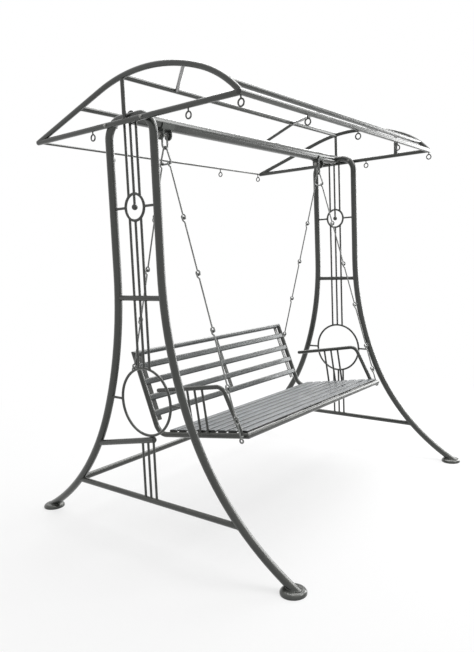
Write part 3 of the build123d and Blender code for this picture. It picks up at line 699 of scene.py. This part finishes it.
def restWelds(spec):
    # the rest's rear end on the leg, and the low rods' tops under it
    x, rest, slope = -spec["frameX"], spec["rest"], math.radians(spec["rest"]["slope"])
    restWay = np.array((0, math.cos(slope), -math.sin(slope)))
    y, rounds = spec["waist"], 12
    for _ in range(rounds):       # closes in on the point where the two axes meet
        y, way = legAt(restAxisZ(y, spec))
    end, legWay = (x, y, restAxisZ(y, spec)), (0, way[0], way[1])
    shells = [weld(end, restWay, rest["r"], legWay, spec["tubeR"], beads["bar"])]
    for y in spec["rodYs"]:
        shells.append(rodWeld((x, y, restAxisZ(y, spec)), 1, restWay, rest["r"], spec))
    return shells


def stretcherWelds(spec):
    # the rear stretcher's two ends on the rear legs
    half, way = legAt(spec["lowBar"]["z"])
    legWay = (0, way[0], way[1])
    return [weld((side * spec["frameX"], half, spec["lowBar"]["z"]), (side, 0, 0),
                 spec["stretcherR"], legWay, spec["tubeR"], beads["stretcher"])
            for side in mirrored.values()]


for name, side in mirrored.items():
    shells = sideFrameWelds(side, stand) + (restWelds(stand) if side < 0 else [])
    addWelds(name + "_frame_welds", shells, "stand")
addWelds("stretcher_welds", stretcherWelds(stand), "stand")
print("stand welds are made")

canopy = dict(
    x=0.9598, r=0.0125, chordZ=1.963, tip=0.649,
    straightFrom=0.150, straightRise=0.158, straightSteps=12,
    crestAt=-0.459, crestRise=0.134, arcStep=0.5,
    ridgePost=dict(y=0.0, r=0.0095), endPost=dict(y=-0.432, r=0.012),
    purlins=dict(ridge=0.0, front=-0.590, rear=0.302), eaveRod=dict(y=0.641, r=0.006),
    alikeR=0.97,            # share of the radius that the seam keeps to on a tube as large
    braceR=0.009, corner=dict(y=-0.370, run=0.347),
    middle=dict(front=-0.250, ridge=0.424, rear=0.490),
    boltEnd=0.008,
)


def ribLine(spec):
    # (y, z) of the roof rib: straight from the rear tip, then two tangent arcs to the front tip
    rear = np.array((spec["tip"], spec["chordZ"]))
    start = np.array((spec["straightFrom"], spec["chordZ"] + spec["straightRise"]))
    crest = np.array((spec["crestAt"], spec["chordZ"] + spec["crestRise"]))
    front = np.array((-spec["tip"], spec["chordZ"]))
    runs, heading = [straight(rear, start, spec["straightSteps"])], unit(start - rear)
    for first, last in ((start, crest), (crest, front)):
        chord, normal = last - first, np.array((-heading[1], heading[0]))
        reach = chord @ chord / (2 * chord @ normal)
        centre = first + normal * reach
        turn = 2 * math.degrees(math.asin(np.linalg.norm(chord) / 2 / abs(reach)))
        angle = math.degrees(math.atan2(*(first - centre)[::-1]))
        runs.append(arc(centre, abs(reach), angle, math.copysign(turn, reach), spec["arcStep"]))
        spoke = last - centre
        heading = unit(np.array((-spoke[1], spoke[0])) * math.copysign(1, reach))
    return chained(*runs)


ribPoints = ribLine(canopy)[::-1]      # from the front tip to the rear


def ribAt(y):
    # the roof rib's height and direction at y
    z = float(np.interp(y, ribPoints[:, 0], ribPoints[:, 1]))
    ahead = float(np.interp(y + probe, ribPoints[:, 0], ribPoints[:, 1]))
    return z, unit((0, probe, ahead - z))


def canopyWelds(spec):
    # posts, purlins and the eave's rods on the two end frames
    shells, chordZ, r, beadR = [], spec["chordZ"], spec["r"], beads["canopy"]
    eaveRod, alikeR = spec["eaveRod"], spec["r"] * spec["alikeR"]
    for side in mirrored.values():
        x = side * spec["x"]
        # only the right frame has an end post
        posts = [spec["ridgePost"]] if side < 0 else [spec["ridgePost"], spec["endPost"]]
        for post in posts:
            z, way = ribAt(post["y"])
            shells.append(weld((x, post["y"], chordZ), (0, 0, -1), post["r"], alongY, r, beadR))
            shells.append(weld((x, post["y"], z), alongZ, post["r"], way, r, beadR))
        for y in spec["purlins"].values():
            z, way = ribAt(y)
            shells.append(weld((x, y, z), (side, 0, 0), alikeR, way, r, beadR))
        shells.append(weld((x, eaveRod["y"], chordZ), (side, 0, 0), eaveRod["r"], alongY, r, beadR))
        shells.append(weld((x, -spec["tip"], chordZ), (0, -1, 0), alikeR, alongX, r, beadR))
    return shells


def braceWelds(spec):
    # the corner brace runs from the left rib to the ridge, the middle one from purlin to purlin
    def onRib(x, y):
        return np.array((x, y, ribAt(y)[0]))

    corner, middle, purlins = spec["corner"], spec["middle"], spec["purlins"]
    cornerStart = onRib(-spec["x"], corner["y"])
    cornerEnd = onRib(-spec["x"] + corner["run"], purlins["ridge"])
    front, ridge, rear = [onRib(middle[name], purlins[name]) for name in ("front", "ridge", "rear")]
    shells = []
    for start, end, startWay in ((cornerStart, cornerEnd, ribAt(corner["y"])[1]),
                                 (front, ridge, alongX), (ridge, rear, alongX)):
        for place, way, targetWay in ((end, end - start, alongX), (start, start - end, startWay)):
            shells.append(weld(place, way, spec["braceR"], targetWay, spec["r"], beads["brace"]))
    return shells


addWelds("canopy_welds", canopyWelds(canopy), "stand")
addWelds("brace_welds", braceWelds(canopy), "stand")
print("canopy welds are made")

# plugs go into tube ends; inside is a share of the tube's radius
plugForm = dict(depth=0.006, crown=0.0016, crownSteps=6, inside=0.86, sides=40)
# rings of a slat's plug from its inner end out: share of the bore, place along the slat
slatPlugRings = np.array(((0.80, -0.0050), (0.985, -0.0042), (0.985, -0.0006), (0.90, 0.0)))


def plug(place, way, radius):
    # closed plug with a low crown: its outline is turned about the tube's axis
    inside, depth = radius * plugForm["inside"], plugForm["depth"]
    lean = np.linspace(0, np.pi / 2, plugForm["crownSteps"])
    crown = np.column_stack((wideHub + (radius - wideHub) * np.cos(lean),
                             plugForm["crown"] * np.sin(lean)))
    outline = np.vstack(((wideHub, -depth), (inside, -depth), (inside, 0), crown))
    return turned(outline, place, way, plugForm["sides"])


def slatPlug(place, way, up, width, thickness):
    # flat-oval plug, flush with the end of its slat: the bore's section carried along the rings
    way, up = unit(way), unit(up)
    section = flatOval(width, thickness)
    flat = section[:, :1] * np.cross(up, way) + section[:, 1:] * up
    share, depth = slatPlugRings[:, None, :1], slatPlugRings[:, None, 1:]
    points = np.asarray(place) + depth * way + share * flat
    return points.reshape(-1, 3), sealed(len(slatPlugRings), len(section))


def standPlugs(stand, canopy):
    # open tube ends: eave rail, rear tips of chords and ribs, the ring rest's front end
    shells, chordZ, r, tip = [], canopy["chordZ"], canopy["r"], canopy["tip"]
    ribEndWay = ribAt(tip - 1.5 * probe)[1]      # just before the rib's end
    for side in mirrored.values():
        x = side * canopy["x"]
        shells.append(plug((x + side * r, -tip, chordZ), (side, 0, 0), r))
        shells.append(plug((x, tip, chordZ), alongY, r))
        shells.append(plug((x, tip, chordZ), ribEndWay, r))
    rest, slope = stand["rest"], math.radians(stand["rest"]["slope"])
    restEnd = (-stand["frameX"], rest["frontY"], restAxisZ(rest["frontY"], stand))
    shells.append(plug(restEnd, (0, -math.cos(slope), math.sin(slope)), rest["r"]))
    return shells


def beamLids(spec):
    # thin discs that close the beam behind the side frames' top tubes
    lid = spec["lid"]
    outline = ((wideHub, -lid["thickness"]), (lid["r"], -lid["thickness"]),
               (lid["r"], -lid["edgeDown"]), (lid["r"] - lid["edgeIn"], 0.0), (wideHub, 0.0))
    return [turned(outline, (side * spec["beamHalf"], 0, spec["topZ"]), (side, 0, 0), lid["sides"])
            for side in mirrored.values()]


addPiece("tube_plugs", standPlugs(stand, canopy), "stand", materials["plugPlastic"])
addPiece("beam_lids", beamLids(stand), "stand", materials["framePaint"])

boltSpecs = dict(
    canopy_bolts=dict(diameter=0.008, washerR=0.0088, washerT=0.0014),
    hanger_bolts=dict(diameter=0.012, washerR=0.0125, washerT=0.0020),
)
# a bolt's parts in shares of its diameter
boltForm = dict(
    acrossFlats=1.6, headH=0.62, nutH=0.75, chamfer=0.07, washerBore=0.52, shankR=0.4925)
# pitch is in metres; plain and shoulder are shares of a length, root and tip of the radius
thread = dict(pitch=0.0016, plain=0.55, shoulder=0.98, root=0.90, tip=0.78, sides=40)
# face and corner are shares of the hexagon's half width, rim of the washer's radius and edge of
# its thickness
hexForm = dict(face=0.97, corner=1.16, sides=72)
washerForm = dict(rim=0.97, edge=0.25, sides=48)


def hexRing(centre, way, acrossFlats, heights, chamfer):
    # hexagon turned about way: radius(angle, u) is the smaller of the hexagon's edge and a
    # cone that takes the corners off both faces
    way = unit(way)
    first = squareTo(way)
    second = np.cross(way, first)
    angle = np.linspace(0, 2 * np.pi, hexForm["sides"], endpoint=False)
    flatAngle = (angle + np.pi / 6) % (np.pi / 3) - np.pi / 6
    half, (low, high) = acrossFlats / 2, heights
    edge = half / np.cos(flatAngle)
    levels = np.array((low, low, low + chamfer, high - chamfer, high, high))
    face, corner = hexForm["face"], hexForm["corner"]
    cone = half * np.array((0.0, face, corner, corner, face, 0.0))
    radius = np.minimum(edge[None, :], cone[:, None])
    radius[0] = radius[-1] = fineHub
    spoke = np.cos(angle)[:, None] * first + np.sin(angle)[:, None] * second
    points = np.asarray(centre) + radius[..., None] * spoke[None] + levels[:, None, None] * way
    return points.reshape(-1, 3), sealed(len(levels), len(angle))


def threadedShank(start, end, radius):
    # plain shank, then a thread: the radius is a triangle wave of the height along the bolt
    way = unit(np.subtract(end, start))
    length = float(np.linalg.norm(np.subtract(end, start)))
    plain = length * thread["plain"]
    heights = np.arange(plain, length - thread["pitch"], thread["pitch"] / 2)
    wave = np.where(np.arange(len(heights)) % 2, radius, radius * thread["root"])
    outline = [(fineHub, 0.0), (radius, 0.0), (radius, plain * thread["shoulder"])]
    outline += list(zip(wave, heights)) + [(radius * thread["tip"], length), (fineHub, length)]
    return turned(outline, start, way, thread["sides"])


def washer(centre, way, outerR, thickness, innerR):
    # flat ring with softened edges: its outline is turned about the bolt's axis
    rimR, edge = outerR * washerForm["rim"], thickness * washerForm["edge"]
    outline = ((innerR, 0.0), (rimR, 0.0), (outerR, edge), (outerR, thickness - edge),
               (rimR, thickness), (innerR, thickness))
    return turned(outline, centre, way, washerForm["sides"])


def boltSet(head, nutFace, end, spec):
    # head outside its first face, nut behind the second, washers under both
    head, nutFace = np.asarray(head, float), np.asarray(nutFace, float)
    way, d, t = unit(np.subtract(end, head)), spec["diameter"], spec["washerT"]
    flats, chamfer, bore = [boltForm[key] * d for key in ("acrossFlats", "chamfer", "washerBore")]
    return [
        hexRing(head, -way, flats, (t, t + boltForm["headH"] * d), chamfer),
        washer(head - way * t, way, spec["washerR"], t, bore),
        threadedShank(head, end, boltForm["shankR"] * d),
        washer(nutFace, way, spec["washerR"], t, bore),
        hexRing(nutFace, way, flats, (t, t + boltForm["nutH"] * d), chamfer),
    ]


def canopyBoltShells(stand, canopy, spec):
    # the end frames are bolted through the bends of the side frames, level with the chord
    bend, z = stand["bendR"], canopy["chordZ"]
    rise = z - (stand["topZ"] - bend)
    boltY = stand["waist"] - bend + math.sqrt(bend**2 - rise**2)
    shells = []
    for side in mirrored.values():
        outer = side * (canopy["x"] + canopy["r"])
        inner = side * (stand["frameX"] - stand["tubeR"])
        end = inner - side * canopy["boltEnd"]
        for y in (-boltY, boltY):
            shells += boltSet((outer, y, z), (inner, y, z), (end, y, z), spec)
    return shells


hanger = dict(x=0.713, boltZ=1.934, outerEar=0.029, boltEnd=0.012)


def hangerBoltShells(hanger, spec):
    # through both ears of each bracket, with the head outside
    shells, z = [], hanger["boltZ"]
    for side in mirrored.values():
        outer, inner = [side * (hanger["x"] + step * hanger["outerEar"]) for step in (1, -1)]
        end = inner - side * hanger["boltEnd"]
        shells += boltSet((outer, 0, z), (inner, 0, z), (end, 0, z), spec)
    return shells


zinc, hard = materials["boltZinc"], sharpAngle["bolt"]
canopyBolts = canopyBoltShells(stand, canopy, boltSpecs["canopy_bolts"])
addPiece("canopy_bolt_sets", canopyBolts, "stand", zinc, ["canopy_bolts"], hard)
hangerBolts = hangerBoltShells(hanger, boltSpecs["hanger_bolts"])
addPiece("hanger_bolt_sets", hangerBolts, "stand", zinc, ["hanger_bolts"], hard)
print("plugs, lids and bolts are made")

# corners are (y, z); places on the slopes are measured along them
bench = dict(
    x=0.680, tubeR=0.014, front=(-0.407, 0.523), corner=(0.179, 0.442), top=(0.337, 0.858),
    slats=dict(count=8, width=0.052, thickness=0.012, wall=0.0009, first=0.032, last=0.492,
               bite=0.002, endX=0.6737),
    backSlats=dict(count=4, width=0.034, thickness=0.016, first=0.111, pitch=0.087,
                   forward=0.005, seamShare=0.995, seamPoints=44, roundSteps=13),
    bearerX=0.340,
    arm=dict(footY=-0.374, r=0.011, rearY=0.167, rearZ=0.678, bendY=-0.262, bendZ=0.741),
    armRods=dict(count=3, firstY=-0.033, pitch=0.049, r=0.006),
    tacks=dict(inset=0.0014, lift=0.0012, sideX=0.6725, sideSize=0.0026, sideLean=0.5,
               bearerSize=0.0030, bearerLean=-0.3),
)
seatFront = np.array((0.0, *bench["front"]))
seatCorner = np.array((0.0, *bench["corner"]))
backTop = np.array((0.0, *bench["top"]))
seatWay, backWay = unit(seatCorner - seatFront), unit(backTop - seatCorner)
seatUp = np.array((0.0, -seatWay[2], seatWay[1]))
backFore = np.array((0.0, -backWay[2], backWay[1]))


def atX(place, x):
    # a place of the side view, at its own x
    return np.array((x, place[1], place[2]))


def seatSlatPlaces(spec):
    # middles of the slats, evenly spaced along the seat
    slats = spec["slats"]
    along = np.linspace(slats["first"], slats["last"], slats["count"])
    lift = spec["tubeR"] + slats["thickness"] / 2 - slats["bite"]
    return seatFront + along[:, None] * seatWay + lift * seatUp


def seatSlatPlugs(spec):
    # a plug in both ends of each seat slat
    slats = spec["slats"]
    bore = (slats["width"] - 2 * slats["wall"], slats["thickness"] - 2 * slats["wall"])
    return [slatPlug(atX(place, side * slats["endX"]), (side, 0, 0), seatUp, *bore)
            for place in seatSlatPlaces(spec) for side in mirrored.values()]


# height and sunk are shares of the tack's size; the dome ends at topLean, in radians
tackForm = dict(height=0.62, sunk=0.3, sides=14, topLean=0.02, domeSteps=5)


def tackWeld(place, normal, size):
    # low lump of weld metal: a dome turned about normal
    height, sunk = size * tackForm["height"], size * tackForm["sunk"]
    lean = np.linspace(np.pi / 2, tackForm["topLean"], tackForm["domeSteps"])
    dome = np.column_stack((size * np.sin(lean), height * np.cos(lean)))
    outline = np.vstack(((fineHub, -sunk), (size, -sunk), dome))
    return turned(outline, place, normal, tackForm["sides"])


def benchTacks(spec):
    # short tacks where the slats cross the side tubes and the bearers
    slats, tacks, shells = spec["slats"], spec["tacks"], []
    away = slats["width"] / 2 - tacks["inset"]
    under = tacks["lift"] - slats["thickness"] / 2
    sideTack = (tacks["sideSize"], tacks["sideLean"])
    bearerTack = (tacks["bearerSize"], tacks["bearerLean"])
    crossings = [(side * tacks["sideX"], *sideTack) for side in mirrored.values()]
    crossings += [(x, *bearerTack) for x in (-spec["bearerX"], 0.0, spec["bearerX"])]
    for place in seatSlatPlaces(spec):
        for step in (-1, 1):
            foot = place + step * away * seatWay + under * seatUp
            for x, size, lean in crossings:
                shells.append(tackWeld(atX(foot, x), unit(step * seatWay + lean * seatUp), size))
    return shells


def benchWelds(spec):
    # the armrests' feet and rods, and the back slats' ends on the side tubes
    arm, rods, backs, tubeR = spec["arm"], spec["armRods"], spec["backSlats"], spec["tubeR"]
    slope = (arm["bendZ"] - arm["rearZ"]) / (arm["bendY"] - arm["rearY"])
    armWay = unit((0, 1, slope))
    footPlace = seatFront + seatWay * ((arm["footY"] - seatFront[1]) / seatWay[1])
    postWay = unit((0, arm["footY"] - arm["bendY"], footPlace[2] - arm["bendZ"]))
    oval = flatOval(backs["width"], backs["thickness"], backs["roundSteps"])
    oval = resampled(oval * backs["seamShare"], backs["seamPoints"])
    shells = []
    for side in mirrored.values():
        x = side * spec["x"]
        shells.append(weld(atX(footPlace, x), postWay, arm["r"], seatWay, tubeR, beads["arm"]))
        for index in range(rods["count"]):
            y = rods["firstY"] - index * rods["pitch"]
            high = np.array((x, y, arm["rearZ"] + (y - arm["rearY"]) * slope))
            low = high - seatUp * ((high - atX(seatFront, x)) @ seatUp)
            shells.append(weld(high, seatUp, rods["r"], armWay, arm["r"], beads["rod"]))
            shells.append(weld(low, -seatUp, rods["r"], seatWay, tubeR, beads["rod"]))
        for index in range(backs["count"]):
            target = seatCorner + (backs["first"] + index * backs["pitch"]) * backWay
            place = atX(target + backs["forward"] * backFore, x - side * beadForm["runIn"])
            shells.append(weldBead(oval, place, (side, 0, 0), backWay, atX(target, x), backWay,
                                   tubeR, beads["slat"]))
    return shells


# the seat's tacks take the seat's lighter copy of the slat paint, with its painted sky light
litSlatPaint = materials["litSeatSlatPaint"]
addPiece("seat_slat_plugs", seatSlatPlugs(bench), "swing", materials["plugPlastic"])
addPiece("seat_slat_tacks", benchTacks(bench), "swing", litSlatPaint,
         sharp=sharpAngle["weld"])
addWelds("bench_welds", benchWelds(bench), "swing")
print("bench details are made")
